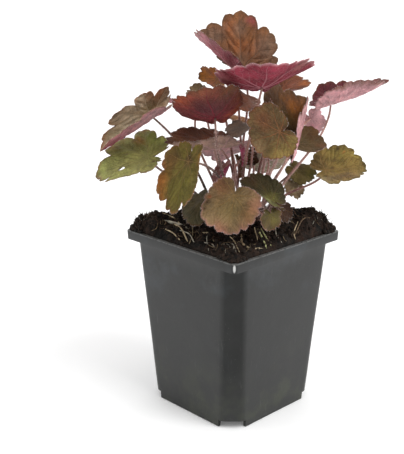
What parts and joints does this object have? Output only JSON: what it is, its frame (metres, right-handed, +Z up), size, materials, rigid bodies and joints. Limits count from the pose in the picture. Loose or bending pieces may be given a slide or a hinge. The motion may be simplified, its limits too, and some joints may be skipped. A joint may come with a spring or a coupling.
{
  "type": "heuchera plant in a square nursery pot",
  "caption": "Bronze, wine-red and olive lobed leaves on slender petioles from a short woody crown, rooted in peat heaped in a tapered square plastic nursery pot.",
  "frame": {"origin": "centre of the pot's base, on the surface that the pot stands on", "axes": "+Z up, +X and +Y square to two neighbouring sides of the pot; the picture looks from between +X and -Y, down at about 17 degrees"},
  "size_m": [0.1212, 0.1494, 0.2312],
  "materials": {
    "pot_plastic": "satin",
    "peat": "matte",
    "crown_wood": "matte",
    "dry_stalk": "matte",
    "leaf_rust": "satin",
    "leaf_wine": "satin",
    "leaf_dusk": "satin",
    "leaf_moss": "satin",
    "leaf_copper": "satin",
    "leaf_bronze": "satin",
    "leaf_pale": "satin",
    "leaf_deep": "satin",
    "leaf_blush": "satin",
    "leaf_dry": "matte",
    "leaf_gold": "satin",
    "leaf_young": "satin"
  },
  "bodies": {
    "root": {"pot": "pot_plastic", "soil": "peat", "crown": "crown_wood", "stalk_left": "dry_stalk", "stalk_across": "dry_stalk", "stalk_front": "dry_stalk", "root_curl": "dry_stalk", "leaf_crest": "leaf_rust", "leaf_magenta": "leaf_wine", "leaf_maroon": "leaf_wine", "leaf_left_folded": "leaf_dusk", "leaf_left_level": "leaf_dusk", "leaf_left_green": "leaf_moss", "leaf_left_hanging": "leaf_copper", "leaf_centre_face": "leaf_bronze", "leaf_centre_tall": "leaf_bronze", "leaf_behind_magenta": "leaf_rust", "leaf_right_long": "leaf_wine", "leaf_right_pink": "leaf_pale", "leaf_right_brown": "leaf_bronze", "leaf_right_green": "leaf_moss", "leaf_right_under": "leaf_deep", "leaf_right_low": "leaf_pale", "leaf_front_low": "leaf_blush", "leaf_front_pale": "leaf_pale", "leaf_front_dark": "leaf_deep", "leaf_front_shade": "leaf_deep", "leaf_dry_curl": "leaf_dry", "leaf_gold_small": "leaf_gold", "leaf_mid_brown": "leaf_bronze", "leaf_mid_shade": "leaf_deep", "leaf_behind_maroon": "leaf_dusk", "leaf_young_magenta": "leaf_young", "leaf_young_pink": "leaf_young", "leaf_young_green": "leaf_bronze", "leaf_young_dark": "leaf_deep", "leaf_back_pink": "leaf_pale", "leaf_back_grey": "leaf_pale", "leaf_back_centre": "leaf_bronze", "leaf_back_left": "leaf_dusk", "leaf_back_high": "leaf_rust"}
  },
  "joints": []
}
